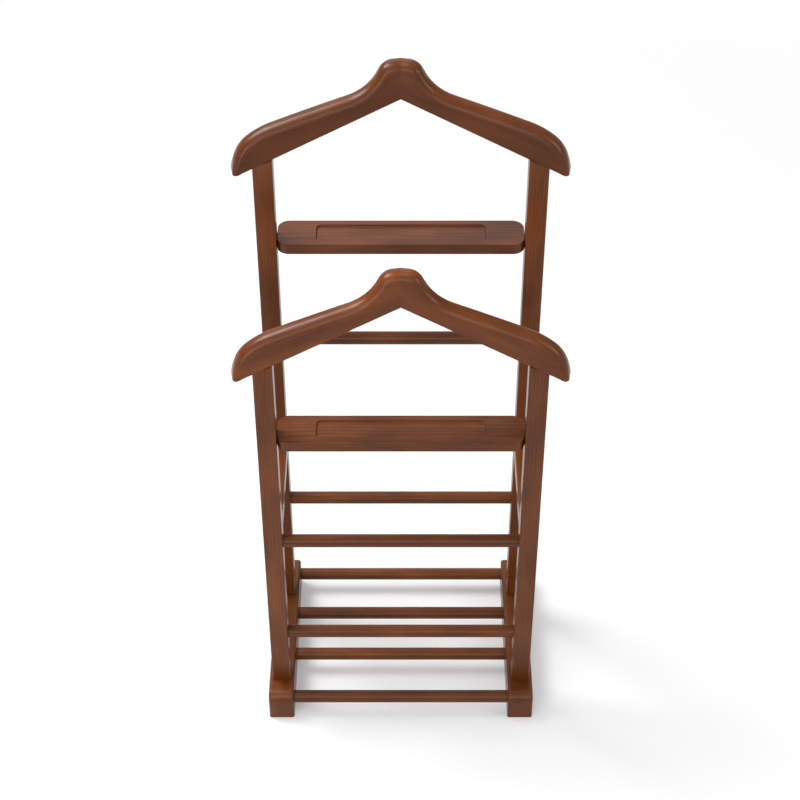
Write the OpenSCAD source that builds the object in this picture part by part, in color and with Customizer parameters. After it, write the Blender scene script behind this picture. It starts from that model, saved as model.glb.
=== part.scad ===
// Double clothes valet stand in stained hardwood.
// A low frame stands in front of a high one, both on two long feet. Each frame has two
// square uprights, a swept hanger, a small tray, a trouser bar and a lower bar. Four
// round bars between the feet carry shoes.
// Millimetres. The origin is on the floor, in the middle of the feet. +X is the
// viewer's right, +Y runs from front to back and +Z is up.

/* [Frame] */
// Width over the outside of the uprights
frame_w = 392; // [372:1:420]
// Square section of the uprights
upright_w = 27; // [26:0.5:32]
// Front face of the front uprights to front face of the rear uprights
frame_pitch = 177; // [160:1:186]
// Radius on the long edges of the uprights
upright_edge_r = 2; // [0.5:0.5:4]

/* [Feet] */
// Length of a foot
foot_l = 288.8; // [282:0.4:320]
// Width of a foot
foot_w = 38; // [34:0.2:40]
// Foot inside the inner faces of the uprights
foot_inside = 6; // [4:0.2:8]
// Height of a foot
foot_h = 48.5; // [44:0.5:56]
// Foot in front of the front uprights
foot_overhang = 33.6; // [30:0.2:40]
// Radius of the toe, seen from the side
toe_r = 16; // [8:1:22]
// Radius on the long upper edges and the upright edges of a foot
foot_edge_r = 4; // [1:0.5:5]
// Radius on the top edge of the heel
heel_r = 2.5; // [1:0.5:6]

/* [Side rails] */
// Height of a side rail
rail_h = 25; // [22:1:30]
// Floor to the top of the side rails
rail_top_z = 378; // [368:1:420]
// Radius on the long edges of the side rails
rail_edge_r = 2; // [0.5:0.5:4]

/* [Bars] */
// Diameter of every round bar
bar_d = 19; // [16:0.5:22]
// Depth of the sockets that the bars are glued into
socket_depth = 12; // [8:1:14]
// Floor to the middle of the front trouser bar
front_trouser_z = 339; // [325:1:340]
// Floor to the middle of the front lower bar
front_lower_z = 146; // [120:1:200]
// Floor to the middle of the rear trouser bar
rear_trouser_z = 570; // [500:1:600]
// Floor to the middle of the rear lower bar
rear_lower_z = 253; // [200:1:320]
// Underside of a foot to the middle of the shoe bars
shoe_bar_up = 31; // [26:0.5:34]
// End of a foot to the middle of the first and the last shoe bar
shoe_bar_inset = 16; // [14:0.5:20]

/* [Trays] */
// Floor to the top of the front tray
front_tray_z = 544; // [500:1:580]
// Floor to the top of the rear tray
rear_tray_z = 746.5; // [700:0.5:780]
// Depth of a tray from front to back
tray_d = 57; // [52:1:66]
// Thickness of a tray
tray_t = 16; // [14:0.5:22]
// Radius of the corners of a tray
tray_corner_r = 16.5; // [10:0.5:18]
// Tray in front of the uprights
tray_forward = 3; // [0:0.5:6]
// Length of the recess in a tray
recess_l = 232; // [180:2:280]
// Width of the recess in a tray
recess_w = 37; // [30:1:42]
// Radius of the corners of the recess
recess_r = 7; // [3:0.5:12]
// Depth of the recess
recess_depth = 3; // [1:0.5:4]

/* [Hangers] */
// Floor to the peak of the front hanger's underside
front_hanger_z = 749.5; // [700:0.5:790]
// Floor to the top of the rear hanger: the height of the whole stand
stand_h = 1005.2; // [965.2:1:1060.2]
// Thickness of a hanger board
hanger_t = 27; // [25:0.5:30]
// Forward sweep of each arm, in degrees
sweep = 10.2; // [4:0.2:14]
// Slope of the underside, in degrees
underside_slope = 23.1; // [20:0.1:25]
// Height of the crown over the underside's peak
crown_h = 51.2; // [46:0.1:56]
// Half length of the flat on the crown
crown_flat = 7; // [4:0.5:12]
// Radius of the crown's shoulder
crown_r = 21.6; // [18:0.2:26]
// Steepest slope beside the crown, in degrees
neck_slope = 60.5; // [52:0.1:66]
// Straight stretch on the steep slope
neck_l = 9; // [4:1:14]
// Hollow radius from the crown to the arm
neck_r = 61.5; // [50:0.5:72]
// Slope of the arm where it leaves the neck, in degrees
arm_slope = 15.4; // [13:0.1:16.4]
// Slope of the arm where its end starts, in degrees
arm_end_slope = 17.2; // [16.6:0.1:19]
// Length of the nearly straight arm between them
arm_l = 105.6; // [96:0.2:110]
// Radius where the arm starts to fall away
shoulder_r = 108.5; // [95:0.5:125]
// Slope at the end of that radius, in degrees
shoulder_slope = 37.4; // [33:0.2:40]
// Radius of the arm's end
tip_r = 51; // [46:0.2:56]
// Slope at the end of that radius, in degrees
tip_slope = 73.9; // [68:0.1:76]
// Radius of the last stretch down to the tip
end_r = 116; // [100:1:150]
// Radius of the tip's lower corner
tip_corner_r = 2; // [1.5:0.5:4]
// Turn of the tip over which the upper edges' radius fades out above that corner
tip_fade_turn = 4.5; // [2:0.5:7]
// Radius on the upper edges, front and back
top_edge_r = 12; // [8:0.5:12.5]
// Radius on the lower edges, front and back
low_edge_r = 0.75; // [0.5:0.25:1.5]

/* [Fastenings] */
// Diameter of the dowels
dowel_d = 8; // [6:0.5:9]
// Length of the dowels
dowel_l = 30; // [24:1:34]
// Glue gap all round a dowel or a bar
glue_gap = 0.1; // [0.05:0.05:0.2]
// Space left past the end of a dowel or a bar
end_gap = 0.5; // [0.3:0.1:1]
// Diameter of the foot screws
screw_d = 6; // [5:0.5:6.5]
// Depth that a foot screw bites into its upright
screw_bite = 39.5; // [25:0.5:60]
// Diameter of the screw's head
screw_head_d = 12; // [10:0.5:13]
// Height of the screw's head
screw_head_h = 4; // [3:0.5:5]
// Width over the flats of the key socket in the screw's head
screw_key_w = 4; // [3:0.5:5]
// Depth of the screw's head below the underside of the foot
screw_sink = 4; // [2:0.5:6]
// Diameter of a felt glide
glide_d = 22; // [18:1:26]
// Thickness of a felt glide
glide_t = 3; // [2.5:0.5:5]
// Felt that stands out below the foot
glide_proud = 1; // [0.5:0.5:2]
// End of a foot to the middle of a glide
glide_inset = 18; // [16:1:22]

/* [Hidden] */

$fn = 48;
front = 0;
rear = 1;
left = -1;
right = 1;
sides = [left, right];
rows = [front, rear];
cut = 1;
big = 400;

wood = "saddlebrown";
bar_wood = "sienna";
dowel_wood = "burlywood";
steel = "silver";
felt = "dimgray";

// Places of the uprights
post_in = frame_w / 2 - upright_w;
post_x = frame_w / 2 - upright_w / 2;
foot_front_y = -foot_l / 2;
face_y = [foot_front_y + foot_overhang, foot_front_y + foot_overhang + frame_pitch];
post_y = [face_y[front] + upright_w / 2, face_y[rear] + upright_w / 2];
foot_top_z = glide_proud + foot_h;

// Each piece that comes once in front and once behind: [front, rear]
hanger_z = [front_hanger_z, stand_h - crown_h];
tray_top_z = [front_tray_z, rear_tray_z];
trouser_z = [front_trouser_z, rear_trouser_z];
lower_z = [front_lower_z, rear_lower_z];

// Inner face and middle of a foot
foot_in = post_in - foot_inside;
foot_x = foot_in + foot_w / 2;
shoe_bar_count = 4;
shoe_bar_z = glide_proud + shoe_bar_up;
shoe_bar_pitch = (foot_l - 2 * shoe_bar_inset) / (shoe_bar_count - 1);
function shoe_bar_y(i) = foot_front_y + shoe_bar_inset + i * shoe_bar_pitch;

// Fastenings
screw_l = foot_h - screw_sink - screw_head_h + screw_bite;
hole_d = dowel_d + 2 * glue_gap;
hole_depth = dowel_l / 2 + end_gap;
socket_d = bar_d + 2 * glue_gap;
rail_dowel_dz = rail_h / 4;
rail_mid_z = rail_top_z - rail_h / 2;
tray_touch_front = max(0, tray_corner_r - tray_forward);
tray_dowel_y = (tray_touch_front + upright_w) / 2;
mitre_dowel_up = [crown_h * 0.3, crown_h * 0.68];
foot_pin_dy = upright_w / 4;

// Swept arm: the front face of each board is flush with its upright at the upright's middle
mitre_back = post_x * tan(sweep);
mitre_mid_y = mitre_back + hanger_t / cos(sweep) / 2;

// ---- Outline of an arm ----
// x runs along the board from the mitre and y is up. A heading is measured in degrees
// down from the x direction, so the path runs clockwise.
function ahead(h) = [cos(h), -sin(h)];
function inward(h) = [-sin(h), -cos(h)];

// Points of an arc that starts at p and turns from heading a to b, without its start
function arc(p, r, a, b, n) =
    let (turn = b > a ? 1 : -1, mid = p + turn * r * inward(a))
    [for (i = [1:n]) let (h = a + (b - a) * i / n) [mid - turn * r * inward(h), h]];
function last(v) = v[len(v) - 1];

crown_end = [crown_flat, crown_h];
crown_arc = arc(crown_end, crown_r, 0, neck_slope, 8);
neck_start = last(crown_arc)[0] + neck_l * ahead(neck_slope);
neck_arc = arc(neck_start, neck_r, neck_slope, arm_slope, 8);
arm_r = arm_l / (arm_end_slope - arm_slope) * 180 / PI;
arm_arc = arc(last(neck_arc)[0], arm_r, arm_slope, arm_end_slope, 3);
shoulder_arc = arc(last(arm_arc)[0], shoulder_r, arm_end_slope, shoulder_slope, 5);
tip_arc = arc(last(shoulder_arc)[0], tip_r, shoulder_slope, tip_slope, 6);
tip_start = last(tip_arc)[0];

// The corner circle touches the underside and the last stretch of the tip
back_heading = 180 + underside_slope;
end_mid = tip_start + end_r * inward(tip_slope);
corner_line = tip_corner_r * inward(back_heading);
corner_dir = ahead(underside_slope);
from_mid = corner_line - end_mid;
reach = from_mid * corner_dir;
corner_along = -reach + sqrt(reach * reach - from_mid * from_mid + pow(end_r - tip_corner_r, 2));
corner_mid = corner_line + corner_along * corner_dir;
corner_out = corner_mid - end_mid;
end_heading = 90 - atan2(corner_out[1], corner_out[0]);
fade_heading = end_heading - tip_fade_turn;
end_arc = arc(tip_start, end_r, tip_slope, fade_heading, 3);
fade_arc = arc(last(end_arc)[0], end_r, fade_heading, end_heading, 5);
corner_arc = arc(last(fade_arc)[0], tip_corner_r, end_heading, back_heading, 6);

// Outline as [point, heading, edge radius]. The upper edge's radius fades down the tip.
function with_r(path, r0, r1) =
    [for (i = [0:len(path) - 1])
        [path[i][0], path[i][1], r0 + (r1 - r0) * (i + 1) / len(path)]];
tip_edge_r = tip_corner_r * 0.75;
arm_path = concat(
    [[[0, crown_h], 0, top_edge_r], [crown_end, 0, top_edge_r]],
    with_r(crown_arc, top_edge_r, top_edge_r),
    [[neck_start, neck_slope, top_edge_r]],
    with_r(neck_arc, top_edge_r, top_edge_r),
    with_r(arm_arc, top_edge_r, top_edge_r),
    with_r(shoulder_arc, top_edge_r, top_edge_r),
    with_r(tip_arc, top_edge_r, top_edge_r),
    with_r(end_arc, top_edge_r, top_edge_r),
    with_r(fade_arc, top_edge_r, tip_edge_r),
    with_r(corner_arc, tip_edge_r, low_edge_r),
    [[[0, 0], back_heading, low_edge_r]]);

// One rounded edge is a quarter circle in this many steps
edge_steps = 6;
quarter = [for (i = [0:edge_steps]) 90 * i / edge_steps];

// Point q of the outline, drawn in by the edge's curve at angle a, at its depth y in the
// board. The first and last points of the outline slide along it onto the mitre's face.
function edge_depth(q, a, back) =
    let (d = q[2] * (1 - cos(a))) back ? hanger_t - d : d;
function edge_point(q, a, back, on_mitre) =
    let (p = q[0] + q[2] * (1 - sin(a)) * inward(q[1]),
         y = edge_depth(q, a, back),
         x = on_mitre ? -y * tan(sweep) : p[0],
         z = on_mitre ? p[1] - (x - p[0]) * tan(q[1]) : p[1])
    [x, y, z];
function arm_layer(a, back) =
    [for (i = [0:len(arm_path) - 1])
        edge_point(arm_path[i], a, back, i == 0 || i == len(arm_path) - 1)];

// Right arm on its own axes, skinned over its layers from front to back
module arm_blank() {
    layers = concat([for (a = quarter) arm_layer(a, false)],
                    [for (i = [edge_steps:-1:0]) arm_layer(quarter[i], true)]);
    n = len(arm_path);
    m = len(layers);
    points = [for (layer = layers) each layer];
    front_cap = [[for (i = [0:n - 1]) i]];
    back_cap = [[for (i = [n - 1:-1:0]) (m - 1) * n + i]];
    mitre_cap = [concat([for (j = [m - 1:-1:0]) j * n + n - 1], [for (j = [0:m - 1]) j * n])];
    skin = [for (j = [0:m - 2], i = [0:n - 2])
        let (a = j * n + i, b = a + 1)
        each [[a, a + n, b + n], [a, b + n, b]]];
    polyhedron(points = points, faces = concat(front_cap, back_cap, mitre_cap, skin), convexity = 6);
}

// Puts the children at a row's hanger, on the right arm's axes
module on_arm(row) {
    translate([0, face_y[row] + mitre_back, hanger_z[row]])
        rotate([0, 0, -sweep])
            children();
}

// Draws right-hand children on the asked side
module on_side(side) {
    mirror([side < 0 ? 1 : 0, 0, 0])
        children();
}

// ---- Plain shapes ----
module round_plate(size, r) {
    square([size[0] - 2 * r, size[1]], center = true);
    square([size[0], size[1] - 2 * r], center = true);
    for (x = [-1, 1], y = [-1, 1])
        translate([x * (size[0] / 2 - r), y * (size[1] / 2 - r)])
            circle(r);
}

// Round bar or hole along X from x0 to x1
module along_x(d, x0, x1) {
    translate([x0, 0, 0])
        rotate([0, 90, 0])
            cylinder(d = d, h = x1 - x0);
}

// Dowel of half length h each way, along Y, or its hole
module dowel_y(d, h) {
    rotate([90, 0, 0])
        cylinder(d = d, h = 2 * h, center = true);
}

module dowel_z(d, h) {
    cylinder(d = d, h = 2 * h, center = true);
}

// ---- Places of the fastenings, on the right-hand side ----
module at_mitre_dowels(row) {
    for (up = mitre_dowel_up)
        translate([0, face_y[row] + mitre_mid_y, hanger_z[row] + up])
            children();
}

// Where the middle of an upright meets the underside of its hanger
post_along = post_x * cos(sweep) - (upright_w / 2 - mitre_back) * sin(sweep);
post_top_drop = post_along * tan(underside_slope);
module at_hanger_dowel(row) {
    translate([post_x, post_y[row], hanger_z[row] - post_top_drop])
        children();
}

module at_rail_dowels() {
    for (y = [face_y[front] + upright_w, face_y[rear]], dz = [-rail_dowel_dz, rail_dowel_dz])
        translate([post_x, y, rail_mid_z + dz])
            children();
}

module at_tray_dowel(row) {
    translate([post_in, face_y[row] + tray_dowel_y, tray_top_z[row] - tray_t / 2])
        children();
}

module at_foot_dowel(row) {
    translate([post_x, post_y[row] + foot_pin_dy, foot_top_z])
        children();
}

module at_foot_screw(row) {
    translate([post_x, post_y[row] - foot_pin_dy, glide_proud])
        children();
}

module at_glides() {
    for (y = [foot_front_y + glide_inset, -foot_front_y - glide_inset])
        translate([foot_x, y, 0])
            children();
}

// ---- Feet ----
module foot_side_outline() {
    translate([toe_r, 0])
        square([foot_l - toe_r, foot_h - heel_r]);
    translate([toe_r, 0])
        square([foot_l - toe_r - heel_r, foot_h]);
    square([foot_l, foot_h - toe_r]);
    translate([toe_r, foot_h - toe_r])
        circle(toe_r);
    translate([foot_l - heel_r, foot_h - heel_r])
        circle(heel_r);
}

// The underside stays flat and sharp-edged: only the part over it is rounded
module foot_end_outline() {
    translate([0, foot_h / 2])
        round_plate([foot_w, foot_h], foot_edge_r);
    translate([-foot_w / 2, 0])
        square([foot_w, foot_h / 2]);
}

module foot_blank() {
    intersection() {
        translate([foot_in, foot_front_y, glide_proud])
            rotate([90, 0, 90])
                linear_extrude(foot_w)
                    foot_side_outline();
        translate([foot_x, 0, glide_proud])
            linear_extrude(foot_h)
                round_plate([foot_w, foot_l], foot_edge_r);
        translate([foot_x, -foot_front_y, glide_proud])
            rotate([90, 0, 0])
                linear_extrude(foot_l)
                    foot_end_outline();
    }
}

module foot(side) {
    color(wood)
        on_side(side)
            difference() {
                foot_blank();
                for (i = [0:shoe_bar_count - 1])
                    translate([0, shoe_bar_y(i), shoe_bar_z])
                        along_x(socket_d, foot_in - cut, foot_in + socket_depth);
                for (row = rows) {
                    at_foot_dowel(row)
                        dowel_z(hole_d, hole_depth);
                    at_foot_screw(row)
                        screw_hole();
                }
                at_glides()
                    cylinder(d = glide_d + 2 * glue_gap, h = glide_t);
            }
}

// ---- Uprights ----
// Everything over the sloping underside of a row's hanger
module over_hanger_underside(row) {
    on_arm(row)
        rotate([0, underside_slope, 0])
            translate([0, -big / 2, 0])
                cube([big, big, big]);
}

module upright(row, side) {
    color(wood)
        on_side(side)
            difference() {
                translate([post_x, post_y[row], foot_top_z])
                    linear_extrude(hanger_z[row] - foot_top_z)
                        round_plate([upright_w, upright_w], upright_edge_r);
                over_hanger_underside(row);
                for (z = [trouser_z[row], lower_z[row]])
                    translate([0, post_y[row], z])
                        along_x(socket_d, post_in - cut, post_in + socket_depth);
                at_hanger_dowel(row)
                    dowel_z(hole_d, hole_depth);
                at_rail_dowels()
                    dowel_y(hole_d, hole_depth);
                at_tray_dowel(row)
                    along_x(hole_d, -hole_depth, hole_depth);
                at_foot_dowel(row)
                    dowel_z(hole_d, hole_depth);
                at_foot_screw(row)
                    screw_hole();
            }
}

// ---- Side rails ----
module side_rail(side) {
    color(wood)
        on_side(side)
            difference() {
                translate([post_x, face_y[rear], rail_mid_z])
                    rotate([90, 0, 0])
                        linear_extrude(frame_pitch - upright_w)
                            round_plate([upright_w, rail_h], rail_edge_r);
                at_rail_dowels()
                    dowel_y(hole_d, hole_depth);
            }
}

// ---- Hangers ----
module hanger_half(row, side) {
    color(wood)
        on_side(side)
            difference() {
                on_arm(row)
                    arm_blank();
                at_mitre_dowels(row)
                    along_x(hole_d, -hole_depth, hole_depth);
                at_hanger_dowel(row)
                    dowel_z(hole_d, hole_depth);
            }
}

// ---- Trays ----
module tray(row) {
    mid_y = face_y[row] - tray_forward + tray_d / 2;
    color(wood)
        difference() {
            translate([0, mid_y, tray_top_z[row] - tray_t])
                linear_extrude(tray_t)
                    round_plate([2 * post_in, tray_d], tray_corner_r);
            translate([0, mid_y, tray_top_z[row] - recess_depth])
                linear_extrude(recess_depth + cut)
                    round_plate([recess_l, recess_w], recess_r);
            for (side = sides)
                on_side(side)
                    at_tray_dowel(row)
                        along_x(hole_d, -hole_depth, hole_depth);
        }
}

// ---- Bars ----
// Round bar between two sockets whose mouths are at x = -mouth and x = mouth
module bar(y, z, mouth) {
    half = mouth + socket_depth - end_gap;
    color(bar_wood)
        translate([0, y, z])
            along_x(bar_d, -half, half);
}

module trouser_bar(row) {
    bar(post_y[row], trouser_z[row], post_in);
}

module lower_bar(row) {
    bar(post_y[row], lower_z[row], post_in);
}

module shoe_bar(i) {
    bar(shoe_bar_y(i), shoe_bar_z, foot_in);
}

// ---- Fastenings ----
// Screw pointing up, with its head in the foot, and its stepped hole
module foot_screw() {
    translate([0, 0, screw_sink])
        difference() {
            union() {
                cylinder(d = screw_head_d, h = screw_head_h);
                translate([0, 0, screw_head_h])
                    cylinder(d = screw_d, h = screw_l);
            }
            translate([0, 0, -cut])
                cylinder(d = screw_key_w / cos(30), h = screw_head_h * 0.6 + cut, $fn = 6);
        }
}

module screw_hole() {
    translate([0, 0, -cut])
        cylinder(d = screw_head_d + 4 * glue_gap, h = screw_sink + screw_head_h + cut);
    cylinder(d = screw_d + 2 * glue_gap, h = screw_sink + screw_head_h + screw_l + end_gap);
}

dowel_half = dowel_l / 2;

module mitre_dowels() {
    color(dowel_wood)
        for (row = rows)
            at_mitre_dowels(row)
                along_x(dowel_d, -dowel_half, dowel_half);
}

module hanger_dowels() {
    color(dowel_wood)
        for (row = rows, side = sides)
            on_side(side)
                at_hanger_dowel(row)
                    dowel_z(dowel_d, dowel_half);
}

module rail_dowels() {
    color(dowel_wood)
        for (side = sides)
            on_side(side)
                at_rail_dowels()
                    dowel_y(dowel_d, dowel_half);
}

module tray_dowels() {
    color(dowel_wood)
        for (row = rows, side = sides)
            on_side(side)
                at_tray_dowel(row)
                    along_x(dowel_d, -dowel_half, dowel_half);
}

module foot_dowels() {
    color(dowel_wood)
        for (row = rows, side = sides)
            on_side(side)
                at_foot_dowel(row)
                    dowel_z(dowel_d, dowel_half);
}

module foot_screws() {
    color(steel)
        for (row = rows, side = sides)
            on_side(side)
                at_foot_screw(row)
                    foot_screw();
}

module foot_glides() {
    color(felt)
        for (side = sides)
            on_side(side)
                at_glides()
                    cylinder(d = glide_d, h = glide_t);
}

// ---- The stand ----
foot(left);  // left_foot
foot(right);  // right_foot
upright(front, left);  // front_left_upright
upright(front, right);  // front_right_upright
upright(rear, left);  // rear_left_upright
upright(rear, right);  // rear_right_upright
side_rail(left);  // left_side_rail
side_rail(right);  // right_side_rail
hanger_half(front, left);  // front_hanger_left
hanger_half(front, right);  // front_hanger_right
hanger_half(rear, left);  // rear_hanger_left
hanger_half(rear, right);  // rear_hanger_right
tray(front);  // front_tray
tray(rear);  // rear_tray
trouser_bar(front);  // front_trouser_bar
trouser_bar(rear);  // rear_trouser_bar
lower_bar(front);  // front_lower_bar
lower_bar(rear);  // rear_lower_bar
shoe_bar(0);  // shoe_bar_1
shoe_bar(1);  // shoe_bar_2
shoe_bar(2);  // shoe_bar_3
shoe_bar(3);  // shoe_bar_4
mitre_dowels();
hanger_dowels();
rail_dowels();
tray_dowels();
foot_dowels();
foot_screws();
foot_glides();
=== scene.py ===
# Double clothes valet stand in stained hardwood, dressed around its CAD frame.
# Sizes are in millimetres and the pieces come in the order the stand is put together.
import math

import bmesh
import bpy
from mathutils import Matrix, Vector


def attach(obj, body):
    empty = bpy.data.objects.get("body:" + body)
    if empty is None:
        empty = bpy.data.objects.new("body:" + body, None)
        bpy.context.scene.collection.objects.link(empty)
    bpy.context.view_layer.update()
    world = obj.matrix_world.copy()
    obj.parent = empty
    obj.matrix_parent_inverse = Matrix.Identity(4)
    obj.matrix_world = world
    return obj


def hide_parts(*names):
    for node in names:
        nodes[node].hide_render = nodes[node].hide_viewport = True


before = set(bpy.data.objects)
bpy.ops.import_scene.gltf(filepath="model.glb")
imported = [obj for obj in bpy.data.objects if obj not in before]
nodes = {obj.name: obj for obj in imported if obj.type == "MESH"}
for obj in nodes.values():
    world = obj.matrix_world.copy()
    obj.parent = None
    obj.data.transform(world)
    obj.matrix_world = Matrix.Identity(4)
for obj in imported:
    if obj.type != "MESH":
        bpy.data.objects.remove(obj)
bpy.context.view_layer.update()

# ---- Feet ----
# Two long feet of solid hardwood, planed square, with a rounded toe in front, softly
# rounded upper edges, and sockets drilled for the shoe bars. Two screws come up through
# each foot into the uprights. Stained walnut brown and sprayed with satin lacquer.
MM = 0.001
FOOT_IN, FOOT_W, FOOT_L = 163.0, 38.0, 288.8
FOOT_LOW, FOOT_TOP = 1.0, 49.5
TOE_R, HEEL_R, FOOT_EDGE_R, FOOT_SOLE_R = 16.0, 2.5, 4.0, 1.0
POST_IN, POST_W = 169.0, 27.0
POST_X = POST_IN + POST_W / 2
FACE_Y = {"front": -110.8, "rear": 66.2}
BAR_D, SOCKET_D, SOCKET_DEPTH = 19.0, 19.2, 12.0
SHOE_BAR_Y = (-128.4, -42.8, 42.8, 128.4)
SHOE_BAR_Z = 32.0
SCREW_HOLE_D, SCREW_HOLE_TOP = 12.4, 9.0
FOOT_X = FOOT_IN + FOOT_W / 2
GLIDE_D, GLIDE_T, GLIDE_Y, GLIDE_PLAY = 22.0, 3.0, 126.4, 0.4
ROUND_SIDES = 48
SAME = 0.02


def only(piece):
    """Makes a piece the one selected object."""
    if bpy.context.object and bpy.context.object.mode == "EDIT":
        bpy.ops.object.mode_set(mode="OBJECT")
    bpy.ops.object.select_all(action="DESELECT")
    piece.select_set(True)
    bpy.context.view_layer.objects.active = piece


def settle(piece):
    """Puts a piece's place and turn into its mesh, so its object sits at the origin."""
    only(piece)
    bpy.ops.object.transform_apply(location=True, rotation=True, scale=True)


def start_block(name, low, high):
    """Adds a block of timber that fills the box between two corners."""
    bpy.ops.object.select_all(action="DESELECT")
    bpy.ops.mesh.primitive_cube_add(size=1)
    piece = bpy.context.object
    piece.name = name
    piece.scale = [(b - a) * MM for a, b in zip(low, high)]
    piece.location = [(a + b) / 2 * MM for a, b in zip(low, high)]
    settle(piece)
    return piece


def start_rod(name, middle, axis, diameter, length, sides):
    """Adds a round rod or cutter along an axis."""
    bpy.ops.object.select_all(action="DESELECT")
    bpy.ops.mesh.primitive_cylinder_add(vertices=sides, radius=diameter / 2 * MM, depth=length * MM)
    piece = bpy.context.object
    piece.name = name
    piece.rotation_euler = {"x": (0, math.pi / 2, 0), "y": (math.pi / 2, 0, 0), "z": (0, 0, 0)}[axis]
    piece.location = Vector(middle) * MM
    settle(piece)
    return piece


def choose_edges(piece, wanted):
    """In edit mode, selects the edges whose two ends, in millimetres, pass the test."""
    only(piece)
    bpy.ops.object.mode_set(mode="EDIT")
    bpy.ops.mesh.select_mode(type="EDGE")
    bpy.ops.mesh.select_all(action="DESELECT")
    mesh = bmesh.from_edit_mesh(piece.data)
    for edge in mesh.edges:
        a, b = (v.co / MM for v in edge.verts)
        if wanted(a, b):
            edge.select_set(True)
    bmesh.update_edit_mesh(piece.data)


def round_edges(piece, wanted, radius, steps):
    """Rounds the edges that pass the test."""
    choose_edges(piece, wanted)
    bpy.ops.mesh.bevel(offset=radius * MM, segments=steps, profile=0.5, affect="EDGES", clamp_overlap=False)
    bpy.ops.object.mode_set(mode="OBJECT")


def near(value, *targets):
    return any(abs(value - target) < SAME for target in targets)


def apply_modifier(piece, kind, **settings):
    only(piece)
    modifier = piece.modifiers.new("work", kind)
    for key, value in settings.items():
        setattr(modifier, key, value)
    bpy.ops.object.modifier_apply(modifier=modifier.name)


def round_each(piece, radius_of, widest, steps):
    """Rounds all edges at once, each by the radius in millimetres that radius_of gives it."""
    mesh = bmesh.new()
    mesh.from_mesh(piece.data)
    weight = mesh.edges.layers.float.new("bevel_weight_edge")
    for edge in mesh.edges:
        edge[weight] = radius_of(*edge.verts) / widest
    mesh.to_mesh(piece.data)
    mesh.free()
    apply_modifier(piece, "BEVEL", width=widest * MM, segments=steps, limit_method="WEIGHT",
                   use_clamp_overlap=False, profile=0.5)


def cut_with(piece, cutter):
    """Takes a cutter's shape out of a piece, as a drill or router does."""
    apply_modifier(piece, "BOOLEAN", operation="DIFFERENCE", object=cutter, solver="EXACT")
    bpy.data.objects.remove(cutter)


def drill(piece, middle, axis, diameter, length):
    cut_with(piece, start_rod("drill", middle, axis, diameter, length, ROUND_SIDES))


def copy_of(piece, name, flip=False, shift=(0, 0, 0)):
    """A second piece with its own mesh, mirrored in X or moved in its mesh."""
    only(piece)
    bpy.ops.object.duplicate()
    other = bpy.context.object
    other.name = name
    bpy.ops.object.mode_set(mode="EDIT")
    bpy.ops.mesh.select_all(action="SELECT")
    if flip:
        bpy.ops.transform.resize(value=(-1, 1, 1), center_override=(0, 0, 0))
    bpy.ops.transform.translate(value=Vector(shift) * MM)
    bpy.ops.mesh.normals_make_consistent(inside=False)
    bpy.ops.object.mode_set(mode="OBJECT")
    return other


def linear(code):
    """An sRGB hex colour as the linear colour that the shader wants."""
    parts = [int(code[i:i + 2], 16) / 255 for i in (1, 3, 5)]
    return [c / 12.92 if c <= 0.04045 else ((c + 0.055) / 1.055) ** 2.4 for c in parts] + [1]


def start_material(name):
    """Adds a material whose node tree is still empty."""
    material = bpy.data.materials.new(name)
    material.use_nodes = True
    material.node_tree.nodes.clear()
    return material, material.node_tree


def put(tree, kind, settings=None, links=None):
    """Adds a shader node with its settings, and its sockets set or linked."""
    node = tree.nodes.new("ShaderNode" + kind)
    for key, value in (settings or {}).items():
        setattr(node, key, value)
    for key, value in (links or {}).items():
        if isinstance(value, bpy.types.NodeSocket):
            tree.links.new(value, node.inputs[key])
        else:
            node.inputs[key].default_value = value
    return node


# Satin-lacquered hardwood, stained walnut. The stain soaks a little deeper into the soft
# bands of the growth rings, so the eye sees warm red-brown wood with fine, quiet lines
# along each piece, under the soft even gloss of a sprayed lacquer. Real fibres are finer
# than the render can show, so they are drawn as coarse as it needs.
STAIN_DARK, STAIN_MIDDLE, STAIN_LIGHT = "#4e270d", "#643312", "#784019"
RING_WIDTH, RING_WANDER = 4.2, 9.0
FIBRE_WIDTH, FIBRE_LENGTH, FIBRE_SHARE = 1.5, 75.0, 0.95
CLOUD_SIZE, CLOUD_SHARE = 48.0, 1.6
STAIN_START = -0.77


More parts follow.
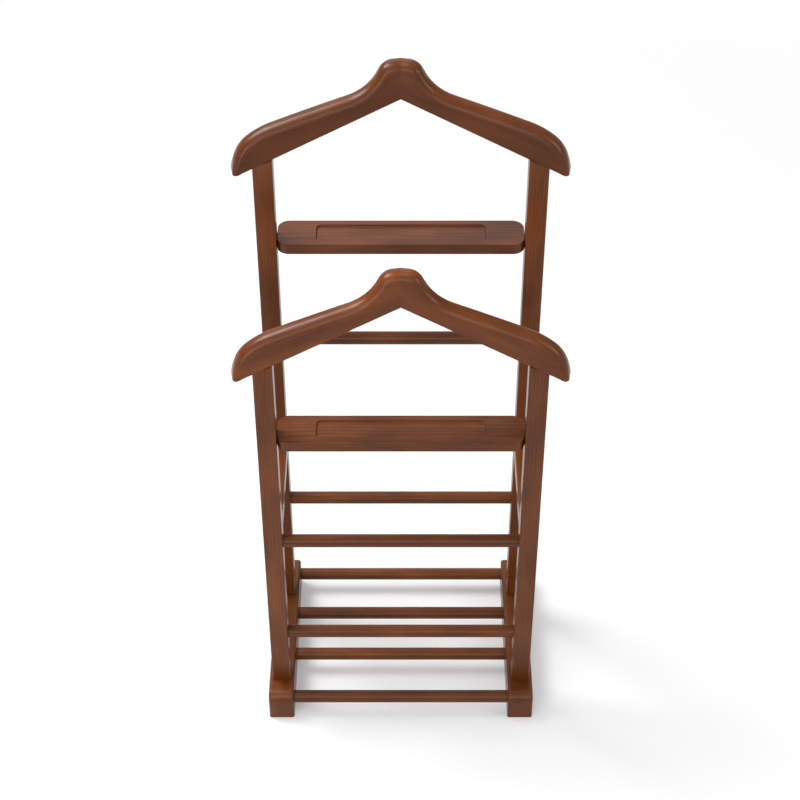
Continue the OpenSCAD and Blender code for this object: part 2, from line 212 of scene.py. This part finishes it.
def stained_wood(name, turn, place, tone_and_shade=1.0, figure=0.12):
    """Turn lays the piece's grain along X; place is where its timber sat in the log, in mm."""
    material, tree = start_material(name)
    where = put(tree, "TexCoord")
    log = put(tree, "Mapping", {"vector_type": "POINT"}, {
        "Vector": where.outputs["Object"], "Location": place,
        "Rotation": turn.to_euler("XYZ"), "Scale": (1 / MM,) * 3})
    slow = put(tree, "Mapping", {"vector_type": "POINT"}, {
        "Vector": log.outputs[0], "Scale": (0.007, 0.03, 0.03)})
    drift = put(tree, "TexNoise", {"noise_dimensions": "3D"}, {
        "Vector": slow.outputs[0], "Scale": 1.0, "Detail": 1.5, "Roughness": 0.5})
    centred = put(tree, "VectorMath", {"operation": "SUBTRACT"}, {0: drift.outputs["Color"], 1: (0.5, 0.5, 0.5)})
    bent = put(tree, "VectorMath", {"operation": "MULTIPLY_ADD"}, {
        0: centred.outputs[0], 1: (0, RING_WANDER, RING_WANDER), 2: log.outputs[0]})
    rings = put(tree, "TexWave", {"wave_type": "RINGS", "rings_direction": "X", "wave_profile": "SIN"}, {
        "Vector": bent.outputs[0], "Scale": math.pi / 10 / RING_WIDTH, "Distortion": 0.5,
        "Detail": 1.0, "Detail Scale": 0.2})
    thread = put(tree, "Mapping", {"vector_type": "POINT"}, {
        "Vector": bent.outputs[0], "Scale": (1 / FIBRE_LENGTH, 1 / FIBRE_WIDTH, 1 / FIBRE_WIDTH)})
    fibres = put(tree, "TexNoise", {}, {
        "Vector": thread.outputs[0], "Scale": 1.0, "Detail": 3.0, "Roughness": 0.6})
    cloud = put(tree, "Mapping", {"vector_type": "POINT"}, {
        "Vector": log.outputs[0], "Scale": (0.45 / CLOUD_SIZE, 1.6 / CLOUD_SIZE, 1.6 / CLOUD_SIZE)})
    clouds = put(tree, "TexNoise", {}, {
        "Vector": cloud.outputs[0], "Scale": 1.0, "Detail": 2.0, "Roughness": 0.5})
    banding = put(tree, "Math", {"operation": "MULTIPLY_ADD"}, {
        0: rings.outputs["Fac"], 1: figure, 2: STAIN_START - figure / 2})
    streaks = put(tree, "Math", {"operation": "MULTIPLY_ADD"}, {
        0: fibres.outputs["Fac"], 1: FIBRE_SHARE, 2: banding.outputs[0]})
    amount = put(tree, "Math", {"operation": "MULTIPLY_ADD"}, {
        0: clouds.outputs["Fac"], 1: CLOUD_SHARE, 2: streaks.outputs[0]})
    stain = put(tree, "ValToRGB", {}, {"Fac": amount.outputs[0]})
    ramp = stain.color_ramp
    # The tone scales all three stain colours. It is partly the piece's own timber tone and partly painted light and
    # shade that lightens or darkens the whole piece.
    ramp.elements[0].color = [c * tone_and_shade for c in linear(STAIN_LIGHT)[:3]] + [1]
    ramp.elements[1].color = [c * tone_and_shade for c in linear(STAIN_DARK)[:3]] + [1]
    ramp.elements.new(0.5).color = [c * tone_and_shade for c in linear(STAIN_MIDDLE)[:3]] + [1]
    sheen = put(tree, "MapRange", {}, {
        "Value": fibres.outputs["Fac"], "From Min": 0.3, "From Max": 0.7, "To Min": 0.27, "To Max": 0.34})
    relief = put(tree, "Bump", {}, {
        "Height": fibres.outputs["Fac"], "Strength": 0.15, "Distance": 0.05 * MM})
    surface = put(tree, "BsdfPrincipled", {}, {
        "Base Color": stain.outputs["Color"], "Roughness": sheen.outputs[0], "Normal": relief.outputs[0],
        "IOR": 1.5, "Specular IOR Level": 0.24})
    put(tree, "OutputMaterial", {}, {"Surface": surface.outputs[0]})
    return material


ALONG_X = Matrix.Identity(3)
ALONG_Y = Matrix.Rotation(-math.pi / 2, 3, "Z")
ALONG_Z = Matrix.Rotation(math.pi / 2, 3, "Y")
SHARPEST_SMOOTH = math.radians(27)


def finish_piece(piece, node, material):
    """Shades the rounded edges smoothly into the flats and stands the piece for its node."""
    only(piece)
    bpy.ops.object.shade_smooth_by_angle(angle=SHARPEST_SMOOTH)
    apply_modifier(piece, "WEIGHTED_NORMAL", mode="FACE_AREA", weight=60, keep_sharp=True)
    piece.data.materials.clear()
    piece.data.materials.append(material)
    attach(piece, "root")
    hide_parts(node)


def finish_wood(piece, node, turn, place, tone_and_shade=1.0, figure=0.12):
    finish_piece(piece, node, stained_wood("stained_hardwood_" + node, turn, place, tone_and_shade, figure))


foot_half = FOOT_L / 2
right_foot = start_block("right_foot_piece", (FOOT_IN, -foot_half, FOOT_LOW), (FOOT_IN + FOOT_W, foot_half, FOOT_TOP))
round_edges(right_foot, lambda a, b: near(a.y, -foot_half) and near(b.y, -foot_half)
            and near(a.z, FOOT_TOP) and near(b.z, FOOT_TOP), TOE_R, 14)


def foot_edge_radius(first, second):
    a, b = first.co / MM, second.co / MM
    if near(a.z, FOOT_LOW) and near(b.z, FOOT_LOW):
        return FOOT_SOLE_R
    if near(a.x, b.x):
        return FOOT_EDGE_R
    return HEEL_R if near(a.y, foot_half) and near(a.z, FOOT_TOP) else 0


round_each(right_foot, foot_edge_radius, FOOT_EDGE_R, 6)
for y in SHOE_BAR_Y:
    drill(right_foot, (FOOT_IN, y, SHOE_BAR_Z), "x", SOCKET_D, 2 * SOCKET_DEPTH)
for face in FACE_Y.values():
    drill(right_foot, (POST_X, face + POST_W / 4, 0), "z", SCREW_HOLE_D, 2 * SCREW_HOLE_TOP)
for y in (-GLIDE_Y, GLIDE_Y):
    drill(right_foot, (FOOT_X, y, FOOT_LOW), "z", GLIDE_D + GLIDE_PLAY, 2 * (GLIDE_T - FOOT_LOW))
left_foot = copy_of(right_foot, "left_foot_piece", flip=True)
# The last number scales each foot's stain. It is partly its own timber tone and partly painted shade, deeper on the
# right foot.
finish_wood(right_foot, "right_foot", ALONG_Y, (300, 40, 70), 0.76)
finish_wood(left_foot, "left_foot", ALONG_Y, (900, 320, 64), 0.82)

# ---- Uprights ----
# Four square posts of the same hardwood, long edges eased by a router. The top of each
# is sawn to the slope of the hanger's underside, doweled and glued; the foot screw
# pulls the bottom down on the foot. Sockets in the inner faces take the round bars.
POST_EDGE_R, POST_END_CHAMFER, POST_FIGURE = 2.0, 0.5, 0.22
SWEEP, UNDERSIDE = math.radians(10.2), math.radians(23.1)
HANGER_Z = {"front": 749.5, "rear": 954.0}
MITRE_BACK = POST_X * math.tan(SWEEP)
BAR_Z = {"front": (339.0, 146.0), "rear": (570.0, 253.0)}
UNDERSIDE_UP = Vector((
    math.sin(UNDERSIDE) * math.cos(SWEEP), -math.sin(UNDERSIDE) * math.sin(SWEEP), math.cos(UNDERSIDE)))


def slice_off(piece, point, outward):
    """Saws a piece at a plane, drops what lies outward, and closes the cut."""
    only(piece)
    bpy.ops.object.mode_set(mode="EDIT")
    bpy.ops.mesh.select_all(action="SELECT")
    bpy.ops.mesh.bisect(plane_co=Vector(point) * MM, plane_no=outward, use_fill=True, clear_outer=True)
    bpy.ops.object.mode_set(mode="OBJECT")


# Each post's stain is scaled. This is partly each timber's own tone and partly painted light and shade.
post_tone_and_shade = {"front_left": 0.94, "front_right": 0.83, "rear_left": 0.88, "rear_right": 0.93}
post_place = {"front_right": (150, 30, 66), "front_left": (1200, -40, 70),
              "rear_right": (2400, 60, -62), "rear_left": (3100, 24, 74)}
for row, face in FACE_Y.items():
    post = start_block(row + "_right_upright_piece", (POST_IN, face, FOOT_TOP),
                       (POST_IN + POST_W, face + POST_W, HANGER_Z[row]))
    round_edges(post, lambda a, b: near(a.x, b.x) and near(a.y, b.y), POST_EDGE_R, 4)
    slice_off(post, (0, face + MITRE_BACK, HANGER_Z[row]), UNDERSIDE_UP)
    round_edges(post, lambda a, b: near(a.z, FOOT_TOP) and near(b.z, FOOT_TOP), POST_END_CHAMFER, 1)
    for z in BAR_Z[row]:
        drill(post, (POST_IN, face + POST_W / 2, z), "x", SOCKET_D, 2 * SOCKET_DEPTH)
    twin = copy_of(post, row + "_left_upright_piece", flip=True)
    for side, piece in (("right", post), ("left", twin)):
        key = row + "_" + side
        finish_wood(piece, key + "_upright", ALONG_Z, post_place[key], post_tone_and_shade[key], POST_FIGURE)

# ---- Side rails ----
# One rail on each side ties the low frame to the high one. Planed hardwood as wide as
# the posts, long edges eased, butted between them on two dowels at each end.
RAIL_H, RAIL_TOP, RAIL_EDGE_R = 25.0, 378.0, 2.0
right_rail = start_block("right_side_rail_piece", (POST_IN, FACE_Y["front"] + POST_W, RAIL_TOP - RAIL_H),
                         (POST_IN + POST_W, FACE_Y["rear"], RAIL_TOP))
round_edges(right_rail, lambda a, b: near(a.x, b.x) and near(a.z, b.z), RAIL_EDGE_R, 4)
left_rail = copy_of(right_rail, "left_side_rail_piece", flip=True)
finish_wood(right_rail, "right_side_rail", ALONG_Y, (500, 35, 58))
finish_wood(left_rail, "left_side_rail", ALONG_Y, (1500, -28, 63))

# ---- Round bars ----
# Turned hardwood rods: a trouser bar and a lower bar in each frame, and four shoe bars
# between the feet. Their ends are chamfered to start in the sockets, then glued.
BAR_END_GAP = 0.5
BAR_CHAMFER = 1.2


def make_bar(name, y, z, mouth, place, tone_and_shade):
    reach = mouth + SOCKET_DEPTH - BAR_END_GAP
    bar = start_rod(name + "_piece", (0, y, z), "x", BAR_D, 2 * reach, 64)
    round_edges(bar, lambda a, b: near(abs(a.x), reach) and near(a.x, b.x), BAR_CHAMFER, 2)
    finish_wood(bar, name, ALONG_X, place, tone_and_shade)


# Each rod's stain is scaled, shoe bars included. This is partly each rod's own tone and partly painted light and
# shade.
bar_tone_and_shade = {"rear_trouser_bar": 0.66, "rear_lower_bar": 0.9, "front_trouser_bar": 0.74, "front_lower_bar": 0.74}
for row, face in FACE_Y.items():
    for name, z, place in zip(("_trouser_bar", "_lower_bar"), BAR_Z[row], ((700, 22, 30), (1900, -18, 34))):
        make_bar(row + name, face + POST_W / 2, z, POST_IN,
                 (place[0] + face, place[1], place[2] - z), bar_tone_and_shade[row + name])
for i, (y, tone_and_shade) in enumerate(zip(SHOE_BAR_Y, (0.64, 0.86, 0.76, 0.9))):
    make_bar("shoe_bar_%d" % (i + 1), y, SHOE_BAR_Z, FOOT_IN, (260 * i + 80, 16 + 9 * i - y, 14), tone_and_shade)

# ---- Trays ----
# A small tray under each hanger for keys and cufflinks: a hardwood board with round
# ends and crisp, barely broken edges. A router sank the shallow recess, and its bit
# left a small cove round the recess's floor. Each end is doweled to its post.
TRAY_TOP = {"front": 544.0, "rear": 746.5}
TRAY_D, TRAY_T, TRAY_CORNER_R, TRAY_FORWARD = 57.0, 16.0, 16.5, 3.0
RECESS_L, RECESS_W, RECESS_R, RECESS_DEPTH, RECESS_COVE = 232.0, 37.0, 7.0, 3.0, 2.0
TRAY_EDGE_R, RIM_EDGE_R, BIT_ABOVE, RIM_SLACK, TRAY_FIGURE = 1.0, 0.4, 5.0, 0.1, 0.4
# Each tray's stain is scaled. This is partly each board's own tone and partly painted shade, with the rear tray
# darker.
tray_tone_and_shade = {"front": 0.76, "rear": 0.7}
tray_place = {"front": (400, 118, -500), "rear": (1100, -66, -705)}
for row, face in FACE_Y.items():
    top, low_y = TRAY_TOP[row], face - TRAY_FORWARD
    mid_y = low_y + TRAY_D / 2
    tray = start_block(row + "_tray_piece", (-POST_IN, low_y, top - TRAY_T), (POST_IN, low_y + TRAY_D, top))
    round_edges(tray, lambda a, b: near(a.x, b.x) and near(a.y, b.y), TRAY_CORNER_R, 16)
    round_edges(tray, lambda a, b: near(a.z, b.z), TRAY_EDGE_R, 3)
    bit = start_block("router", (-RECESS_L / 2, mid_y - RECESS_W / 2, top - RECESS_DEPTH),
                      (RECESS_L / 2, mid_y + RECESS_W / 2, top + BIT_ABOVE))
    round_edges(bit, lambda a, b: near(a.x, b.x) and near(a.y, b.y), RECESS_R, 10)
    round_edges(bit, lambda a, b: near(a.z, top - RECESS_DEPTH) and near(b.z, top - RECESS_DEPTH), RECESS_COVE, 4)
    cut_with(tray, bit)
    round_edges(tray, lambda a, b: near(a.z, top) and near(b.z, top)
                and max(abs(a.x), abs(b.x)) < RECESS_L / 2 + RIM_SLACK
                and max(abs(a.y - mid_y), abs(b.y - mid_y)) < RECESS_W / 2 + RIM_SLACK, RIM_EDGE_R, 2)
    finish_wood(tray, row + "_tray", ALONG_X, tray_place[row], tray_tone_and_shade[row], TRAY_FIGURE)

# ---- Hangers ----
# Each hanger is two thick boards bandsawn to one outline and glued in a mitre over two
# dowels, so its arms sweep forward. A router rounded the upper edges almost to a half
# round; the sawn underside cuts the rounding off at the tips and stays square.
HANGER_T = 27.0
CROWN_H, CROWN_FLAT, CROWN_R = 51.2, 7.0, 21.6
NECK_SLOPE, NECK_L, NECK_R = 60.5, 9.0, 61.5
ARM_SLOPE, ARM_END_SLOPE, ARM_L = 15.4, 17.2, 105.6
SHOULDER_R, SHOULDER_SLOPE = 108.5, 37.4
TIP_R, TIP_SLOPE, END_R, TIP_CORNER_R = 51.0, 73.9, 116.0, 2.0
TOP_EDGE_R, TIP_EDGE_R, LOW_EDGE_R = 12.0, 5.5, 0.75
RUN_OUT, FADE_L = 14.5, 28.0
QUIRK_W, QUIRK_DEPTH = 2.8, 0.4
PAST_MITRE = 8.0
EDGE_STEPS = 9
GRAIN_TURN, ARM_FIGURE = math.radians(20), 0.06


def ahead(heading):
    """Unit step along the outline; headings are degrees down from X, so it runs clockwise."""
    h = math.radians(heading)
    return Vector((math.cos(h), 0, -math.sin(h)))


def inward(heading):
    h = math.radians(heading)
    return Vector((-math.sin(h), 0, -math.cos(h)))


class Outline:
    """Draws the outline by extruding and spinning its last point, and counts its points."""

    def __init__(self, start, heading):
        self.at, self.heading, self.count = Vector(start), heading, 1

    def straight(self, length):
        step = ahead(self.heading) * length
        bpy.ops.mesh.extrude_vertices_move(TRANSFORM_OT_translate={"value": step * MM})
        self.at = self.at + step
        self.count += 1

    def curve(self, radius, heading, steps):
        turn = 1 if heading > self.heading else -1
        middle = self.at + turn * radius * inward(self.heading)
        bpy.ops.mesh.spin(steps=steps, angle=math.radians(heading - self.heading),
                          center=middle * MM, axis=(0, -1, 0))
        self.at = middle - turn * radius * inward(heading)
        self.heading = heading
        self.count += steps


def draw_board(name):
    bpy.ops.object.select_all(action="DESELECT")
    bpy.ops.mesh.primitive_plane_add(size=1 * MM)
    board = bpy.context.object
    board.name = name
    bpy.ops.object.mode_set(mode="EDIT")
    bpy.ops.mesh.select_mode(type="VERT")
    bpy.ops.mesh.select_all(action="SELECT")
    bpy.ops.mesh.merge(type="CENTER")
    start = Vector((-PAST_MITRE, 0, CROWN_H))
    bpy.ops.transform.translate(value=start * MM)
    line = Outline(start, 0)
    line.straight(CROWN_FLAT + PAST_MITRE)
    line.curve(CROWN_R, NECK_SLOPE, 14)
    line.straight(NECK_L)
    line.curve(NECK_R, ARM_SLOPE, 14)
    line.curve(ARM_L / math.radians(ARM_END_SLOPE - ARM_SLOPE), ARM_END_SLOPE, 4)
    line.curve(SHOULDER_R, SHOULDER_SLOPE, 8)
    line.curve(TIP_R, TIP_SLOPE, 12)
    # The lower corner's circle touches the underside and the last stretch of the tip
    end_mid = line.at + END_R * inward(TIP_SLOPE)
    back = 180 + math.degrees(UNDERSIDE)
    base, along = TIP_CORNER_R * inward(back), ahead(math.degrees(UNDERSIDE))
    gap = base - end_mid
    reach = gap.dot(along)
    corner_mid = base + along * (-reach + math.sqrt(reach ** 2 - gap.dot(gap) + (END_R - TIP_CORNER_R) ** 2))
    out = corner_mid - end_mid
    end_heading = 90 - math.degrees(math.atan2(out.z, out.x))
    line.curve(END_R, end_heading, 10)
    corner = line.count - 1
    line.curve(TIP_CORNER_R, back, 5)
    low = line.count
    line.straight(RUN_OUT)
    line.straight((line.at.x + PAST_MITRE) / -ahead(back).x)
    bpy.ops.object.mode_set(mode="OBJECT")
    round_board(board, corner, low)
    return board


def round_board(board, corner, low):
    """Lofts the board from its outline: flat, fine groove, rounding, edge, and the same behind.
    The lower corner runs from point "corner" to point "low", where the underside starts, and
    the sections before it lean over towards the underside."""
    drawn = bmesh.new()
    drawn.from_mesh(board.data)
    chain = [min(drawn.verts, key=lambda v: v.co.x * 1000 - v.co.z)]
    while len(chain) < len(drawn.verts):
        chain.append(next(v for edge in chain[-1].link_edges for v in edge.verts if v not in chain))
    points = [v.co / MM for v in chain]
    count = len(points)
    drawn.free()
    sides = [(points[i + 1] - points[i]).normalized() for i in range(count - 1)]
    across = []
    for i in range(count):
        before, after = sides[max(i - 1, 0)], sides[min(i, count - 2)]
        along = (before + after).normalized()
        across.append(Vector((along.z, 0, -along.x)) / along.dot(after))
    underside, down = sides[low - 1], sides[corner - 1]
    leaning = underside / Vector((down.z, 0, -down.x)).dot(underside)
    lean = leaning.dot(-down)
    radii = [TOP_EDGE_R] * corner + [TIP_EDGE_R] * (low - corner) + [LOW_EDGE_R] * (count - low)
    for i in range(corner):
        share = 1 - (points[corner] - points[i]).length / FADE_L
        if share > 0:
            across[i] -= lean * share * sides[i]
            radii[i] += (TIP_EDGE_R - TOP_EDGE_R) * share ** 1.5
    for i in range(corner, low):
        across[i] = leaning
    rings = []
    for point, inward_step, radius in zip(points, across, radii):
        quirk = 0 if radius == LOW_EDGE_R else radius / TOP_EDGE_R
        half = [(radius + QUIRK_W * quirk, 0), (radius + QUIRK_W / 2 * quirk, QUIRK_DEPTH * quirk)]
        for step in range(EDGE_STEPS + 1):
            turn = math.pi / 2 * step / EDGE_STEPS
            half.append((radius * (1 - math.sin(turn)), radius * (1 - math.cos(turn))))
        section = half + [(inset, HANGER_T - depth) for inset, depth in reversed(half)]
        rings.append([point + inward_step * inset + Vector((0, depth, 0)) for inset, depth in section])
    mesh = bmesh.new()
    verts = [[mesh.verts.new(place * MM) for place in ring] for ring in rings]
    for i in range(count):
        here, there = verts[i], verts[(i + 1) % count]
        for k in range(len(here) - 1):
            mesh.faces.new((here[k], there[k], there[k + 1], here[k + 1]))
    mesh.faces.new([ring[0] for ring in verts])
    mesh.faces.new([ring[-1] for ring in verts])
    mesh.to_mesh(board.data)
    mesh.free()
    only(board)
    bpy.ops.object.mode_set(mode="EDIT")
    bpy.ops.mesh.select_all(action="SELECT")
    bpy.ops.mesh.remove_doubles(threshold=0.002 * MM)
    bpy.ops.mesh.normals_make_consistent(inside=False)
    bpy.ops.object.mode_set(mode="OBJECT")


arm_turn = {"right": Matrix.Rotation(-GRAIN_TURN, 3, "Y") @ Matrix.Rotation(SWEEP, 3, "Z"),
            "left": Matrix.Rotation(GRAIN_TURN, 3, "Y") @ Matrix.Rotation(-SWEEP, 3, "Z")}
arm_place = {("front", "right"): (100, 85, -640), ("front", "left"): (900, -30, -668),
             ("rear", "right"): (1700, 50, -890), ("rear", "left"): (2500, 90, -860)}
# Each hanger half's stain is scaled. This is partly each board's own tone and partly painted light and shade, with
# the rear hanger darker than the front.
arm_tone_and_shade = {("front", "right"): 0.86, ("front", "left"): 0.95, ("rear", "right"): 0.78, ("rear", "left"): 0.7}
blank = draw_board("hanger_blank")
for row, face in FACE_Y.items():
    right = copy_of(blank, row + "_hanger_right_piece")
    right.rotation_euler = (0, 0, -SWEEP)
    right.location = Vector((0, face + MITRE_BACK, HANGER_Z[row])) * MM
    settle(right)
    slice_off(right, (0, 0, 0), (-1, 0, 0))
    left = copy_of(right, row + "_hanger_left_piece", flip=True)
    for side, piece in (("right", right), ("left", left)):
        finish_wood(piece, row + "_hanger_" + side, arm_turn[side], arm_place[row, side],
                    arm_tone_and_shade[row, side], ARM_FIGURE)
bpy.data.objects.remove(blank)

# ---- Dowels ----
# Short turned dowels of pale beech in every glued joint, out of sight once the stand is
# together. Bare wood that has only taken glue keeps a dry, matt, fine-flecked face.
FLECK_WIDTH, FLECK_LENGTH = 0.8, 5.0
beech, tree = start_material("bare_beech_dowel")
where = put(tree, "TexCoord")
grain = put(tree, "Mapping", {"vector_type": "POINT"}, {
    "Vector": where.outputs["Object"],
    "Scale": (1 / FLECK_LENGTH / MM, 1 / FLECK_WIDTH / MM, 1 / FLECK_WIDTH / MM)})
flecks = put(tree, "TexNoise", {}, {"Vector": grain.outputs[0], "Scale": 1.0, "Detail": 3.0})
pale = put(tree, "ValToRGB", {}, {"Fac": flecks.outputs["Fac"]})
pale.color_ramp.elements[0].position = 0.35
pale.color_ramp.elements[0].color = linear("#b98d5e")
pale.color_ramp.elements[1].position = 0.65
pale.color_ramp.elements[1].color = linear("#d8b486")
dry = put(tree, "Bump", {}, {"Height": flecks.outputs["Fac"], "Strength": 0.3, "Distance": 0.05 * MM})
bare = put(tree, "BsdfPrincipled", {}, {
    "Base Color": pale.outputs["Color"], "Normal": dry.outputs[0], "Roughness": 0.7, "IOR": 1.5})
put(tree, "OutputMaterial", {}, {"Surface": bare.outputs[0]})
for name in ("mitre_dowels", "hanger_dowels", "rail_dowels", "tray_dowels", "foot_dowels"):
    for place in nodes[name].material_slots:
        place.material = beech

# ---- Foot screws ----
# Steel cap screws, zinc-plated by barrel, driven up through each foot into its upright.
# The plating gives a cool, fairly bright metal with a faintly cloudy gloss.
PLATING_CLOUD = 2.5
plated, tree = start_material("zinc_plated_steel_screw")
where = put(tree, "TexCoord")
spread = put(tree, "Mapping", {"vector_type": "POINT"}, {
    "Vector": where.outputs["Object"], "Scale": (1 / PLATING_CLOUD / MM,) * 3})
mottle = put(tree, "TexNoise", {}, {"Vector": spread.outputs[0], "Scale": 1.0, "Detail": 2.0})
zinc = put(tree, "ValToRGB", {}, {"Fac": mottle.outputs["Fac"]})
zinc.color_ramp.elements[0].color = linear("#b4b6b8")
zinc.color_ramp.elements[1].color = linear("#cfd0cf")
dull = put(tree, "MapRange", {}, {"Value": mottle.outputs["Fac"], "To Min": 0.24, "To Max": 0.42})
steel = put(tree, "BsdfPrincipled", {}, {
    "Base Color": zinc.outputs["Color"], "Roughness": dull.outputs[0], "Metallic": 1.0})
put(tree, "OutputMaterial", {}, {"Surface": steel.outputs[0]})
for place in nodes["foot_screws"].material_slots:
    place.material = plated

# ---- Foot glides ----
# Round pads of pressed wool felt, die-cut and glued in a shallow pocket at each end of a
# foot. Their lower rim is worn round, and the loose fibres give a soft, matt, dark grey.
# Single wool fibres are too fine to render, so tufts of them are drawn.
FELT_TUFT, WORN_R, UPPER_RIM_R = 0.9, 0.7, 0.2
felt, tree = start_material("pressed_wool_felt")
where = put(tree, "TexCoord")
spread = put(tree, "Mapping", {"vector_type": "POINT"}, {
    "Vector": where.outputs["Object"], "Scale": (1 / FELT_TUFT / MM,) * 3})
tufts = put(tree, "TexNoise", {}, {"Vector": spread.outputs[0], "Scale": 1.0, "Detail": 4.0, "Roughness": 0.7})
wool = put(tree, "ValToRGB", {}, {"Fac": tufts.outputs["Fac"]})
wool.color_ramp.elements[0].position = 0.3
wool.color_ramp.elements[0].color = linear("#2b2927")
wool.color_ramp.elements[1].position = 0.7
wool.color_ramp.elements[1].color = linear("#4b4844")
nap = put(tree, "Bump", {}, {"Height": tufts.outputs["Fac"], "Strength": 0.8, "Distance": 0.3 * MM})
fibre = put(tree, "BsdfPrincipled", {}, {
    "Base Color": wool.outputs["Color"], "Normal": nap.outputs[0], "Roughness": 0.95,
    "Specular IOR Level": 0.2, "Sheen Weight": 0.3, "Sheen Roughness": 0.5})
put(tree, "OutputMaterial", {}, {"Surface": fibre.outputs[0]})

glides = start_rod("foot_glides_piece", (FOOT_X, -GLIDE_Y, GLIDE_T / 2), "z", GLIDE_D, GLIDE_T, ROUND_SIDES)
round_edges(glides, lambda a, b: near(a.z, 0) and near(b.z, 0), WORN_R, 4)
round_edges(glides, lambda a, b: near(a.z, GLIDE_T) and near(b.z, GLIDE_T), UPPER_RIM_R, 1)
others = [copy_of(glides, "glide", shift=(0, 2 * GLIDE_Y, 0)), copy_of(glides, "glide", flip=True)]
others.append(copy_of(others[0], "glide", flip=True))
only(glides)
for glide in others:
    glide.select_set(True)
bpy.ops.object.join()
finish_piece(glides, "foot_glides", felt)

# ---- Studio ----
# A pale floor that runs out to white and keeps the stand's shadow. A bright softbox high
# at the rear left, wide dimmer ones in front, overhead, behind and on the right, and a
# narrow one low at the front left.
bpy.ops.object.select_all(action="DESELECT")
bpy.ops.mesh.primitive_plane_add(size=60)
floor = bpy.context.object
floor.name = "studio_floor"
paint, tree = start_material("white_studio_floor")
GLOW_NEAR, NEAR, FAR = 0.2, 0.7, 2.2
glow = put(tree, "Emission", {}, {"Color": linear("#ffffff"), "Strength": 1.0})
ray = put(tree, "LightPath")
seen = put(tree, "Math", {"operation": "ADD"}, {0: ray.outputs["Is Camera Ray"], 1: ray.outputs["Is Glossy Ray"]})
seen_or_through = put(tree, "Math", {"operation": "ADD", "use_clamp": True}, {
    0: seen.outputs[0], 1: ray.outputs["Is Transmission Ray"]})
tint = put(tree, "MixRGB", {}, {0: seen_or_through.outputs[0], 1: linear("#b4b4b4"), 2: linear("#e0e0e0")})
matt = put(tree, "BsdfDiffuse", {}, {"Color": tint.outputs[0]})
where = put(tree, "TexCoord")
away = put(tree, "VectorMath", {"operation": "LENGTH"}, {0: where.outputs["Object"]})
lift = put(tree, "MapRange", {}, {
    "Value": away.outputs["Value"], "From Min": NEAR, "From Max": FAR, "To Min": GLOW_NEAR, "To Max": 1.0})
share = put(tree, "Math", {"operation": "MULTIPLY"}, {0: seen_or_through.outputs[0], 1: lift.outputs[0]})
blend = put(tree, "MixShader", {}, {0: share.outputs[0], 1: matt.outputs[0], 2: glow.outputs[0]})
put(tree, "OutputMaterial", {}, {"Surface": blend.outputs[0]})
floor.data.materials.append(paint)

world = bpy.data.worlds.new("studio_air")
bpy.context.scene.world = world
world.use_nodes = True
tree = world.node_tree
tree.nodes.clear()
AIR_LOW, AIR_HIGH = 0.21, 0.68
heading = put(tree, "TexCoord")
height = put(tree, "SeparateXYZ", {}, {0: heading.outputs["Generated"]})
level = put(tree, "MapRange", {}, {
    "Value": height.outputs["Z"], "From Min": 0.0, "From Max": 1.0, "To Min": AIR_LOW, "To Max": AIR_HIGH})
air = put(tree, "Background", {}, {"Color": linear("#ffffff"), "Strength": level.outputs[0]})
backdrop = put(tree, "Background", {}, {"Color": linear("#ffffff"), "Strength": 1.0})
ray = put(tree, "LightPath")
sky = put(tree, "MixShader", {}, {0: ray.outputs["Is Camera Ray"], 1: air.outputs[0], 2: backdrop.outputs[0]})
put(tree, "OutputWorld", {}, {"Surface": sky.outputs[0]})


def add_softbox(name, place, aim, size, radiance):
    bpy.ops.object.light_add(type="AREA")
    box = bpy.context.object
    box.name = name
    box.data.shape = "RECTANGLE"
    box.data.size, box.data.size_y = size
    box.data.energy = radiance * math.pi * size[0] * size[1]
    box.location = place
    box.rotation_euler = (Vector(aim) - box.location).to_track_quat("-Z", "Y").to_euler()


add_softbox("key_softbox", (-1.6, 0.75, 2.8), (0, 0, 0.6), (1.35, 1.35), 13)
add_softbox("top_softbox", (-1.3, 0.3, 4.2), (0, 0, 0.6), (2.6, 2.6), 2.6)
add_softbox("rear_softbox", (-0.4, 2.4, 2.2), (0, 0, 0.7), (2.4, 0.8), 1.6)
add_softbox("front_softbox", (-0.5, -2.7, 1.9), (0, 0, 0.6), (3.0, 1.7), 2.6)
add_softbox("left_strip", (-1.7, -2.2, 0.9), (0, 0, 0.7), (0.4, 1.3), 7.5)
add_softbox("right_softbox", (1.9, -0.8, 1.7), (0, 0, 0.5), (0.8, 1.2), 5)

bpy.ops.object.camera_add()
camera = bpy.context.object
camera.location = (0, -2.00075, 2.27886)
camera.rotation_euler = (math.radians(48.716), 0, 0)
camera.data.lens, camera.data.sensor_width = 85, 36
camera.data.shift_x = -0.00106
bpy.context.scene.camera = camera
bpy.context.scene.view_settings.view_transform = "Standard"
